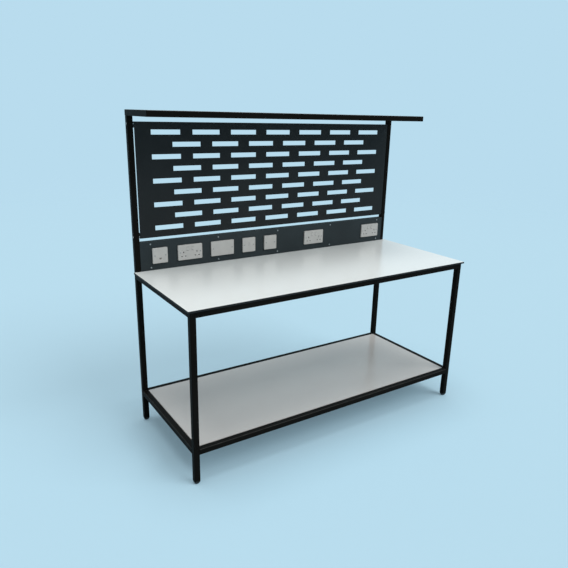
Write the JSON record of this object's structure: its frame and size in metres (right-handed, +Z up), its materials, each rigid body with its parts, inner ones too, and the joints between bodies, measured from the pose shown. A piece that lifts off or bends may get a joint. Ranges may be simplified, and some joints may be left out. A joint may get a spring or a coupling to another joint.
{
  "type": "laboratory bench with top shelf",
  "caption": "Steel-tube laboratory bench with a thin worktop, lower shelf, slotted back panel, socket strip with switched outlets and a shallow top shelf.",
  "frame": {"origin": "on the floor, under the middle of the bench's plan", "axes": "+X to the right along the bench, +Y from the front to the back, +Z up"},
  "size_m": [1.8, 0.74, 1.734],
  "materials": {
    "frame_black": "fine-textured black powder coat",
    "slotted_sheet": "matte charcoal powder coat",
    "strip_sheet": "matte blue-grey powder coat",
    "worktop_laminate": "white compact laminate with a dark core that shows at the edges",
    "shelf_board": "light grey melamine-faced board",
    "white_moulding": "white moulded plastic, semi-gloss",
    "base_moulding": "plain dark insulating moulding",
    "foot_plastic": "black moulded plastic",
    "zinc_steel": "bright zinc plate"
  },
  "bodies": {
    "bench": {"front_left_leg": "frame_black", "front_right_leg": "frame_black", "back_left_post": "frame_black", "back_right_post": "frame_black", "top_front_rail": "frame_black", "top_back_rail": "frame_black", "top_left_rail": "frame_black", "top_right_rail": "frame_black", "lower_front_rail": "frame_black", "lower_back_rail": "frame_black", "lower_left_rail": "frame_black", "lower_right_rail": "frame_black", "strip_lower_tube": "frame_black", "strip_upper_tube": "frame_black", "lower_shelf_front_ledge": "frame_black", "lower_shelf_back_ledge": "frame_black", "top_shelf_front_ledge": "frame_black", "top_shelf_back_ledge": "frame_black", "top_shelf_front_rail": "frame_black", "top_shelf_back_rail": "frame_black", "top_shelf_left_arm": "frame_black", "top_shelf_right_arm": "frame_black", "slotted_panel": "slotted_sheet", "strip_cover": "strip_sheet", "worktop": "worktop_laminate", "lower_shelf_board": "shelf_board", "top_shelf_board": "shelf_board", "data_plate": "white_moulding", "socket_left_plate": "white_moulding", "blank_double_plate": "white_moulding", "spur_plate": "white_moulding", "blank_single_plate": "white_moulding", "socket_middle_plate": "white_moulding", "socket_right_plate": "white_moulding", "data_jack": "white_moulding", "fuse_carrier": "white_moulding", "socket_left_base": "base_moulding", "socket_middle_base": "base_moulding", "socket_right_base": "base_moulding", "foot_front_left": "foot_plastic", "foot_front_right": "foot_plastic", "foot_back_left": "foot_plastic", "foot_back_right": "foot_plastic", "data_box": "zinc_steel", "socket_left_box": "zinc_steel", "blank_double_box": "zinc_steel", "spur_box": "zinc_steel", "blank_single_box": "zinc_steel", "socket_middle_box": "zinc_steel", "socket_right_box": "zinc_steel", "panel_spacer_left_lower": "zinc_steel", "panel_spacer_left_upper": "zinc_steel", "panel_spacer_right_lower": "zinc_steel", "panel_spacer_right_upper": "zinc_steel"},
    "socket_left_rocker_1": {"socket_left_rocker_1": "white_moulding"},
    "socket_left_rocker_2": {"socket_left_rocker_2": "white_moulding"},
    "socket_middle_rocker_1": {"socket_middle_rocker_1": "white_moulding"},
    "socket_middle_rocker_2": {"socket_middle_rocker_2": "white_moulding"},
    "socket_right_rocker_1": {"socket_right_rocker_1": "white_moulding"},
    "socket_right_rocker_2": {"socket_right_rocker_2": "white_moulding"}
  },
  "joints": [
    {"name": "socket_left_switch_1", "type": "hinge", "parent": "bench", "child": "socket_left_rocker_1", "pos_m": [-0.591, 0.335, 1], "axis": [1, 0, 0], "range_deg": [0, 10]},
    {"name": "socket_left_switch_2", "type": "hinge", "parent": "bench", "child": "socket_left_rocker_2", "pos_m": [-0.561, 0.335, 1], "axis": [1, 0, 0], "range_deg": [0, 10]},
    {"name": "socket_middle_switch_1", "type": "hinge", "parent": "bench", "child": "socket_middle_rocker_1", "pos_m": [0.261, 0.335, 1], "axis": [1, 0, 0], "range_deg": [0, 10]},
    {"name": "socket_middle_switch_2", "type": "hinge", "parent": "bench", "child": "socket_middle_rocker_2", "pos_m": [0.291, 0.335, 1], "axis": [1, 0, 0], "range_deg": [0, 10]},
    {"name": "socket_right_switch_1", "type": "hinge", "parent": "bench", "child": "socket_right_rocker_1", "pos_m": [0.733, 0.335, 1], "axis": [1, 0, 0], "range_deg": [0, 10]},
    {"name": "socket_right_switch_2", "type": "hinge", "parent": "bench", "child": "socket_right_rocker_2", "pos_m": [0.763, 0.335, 1], "axis": [1, 0, 0], "range_deg": [0, 10]}
  ]
}
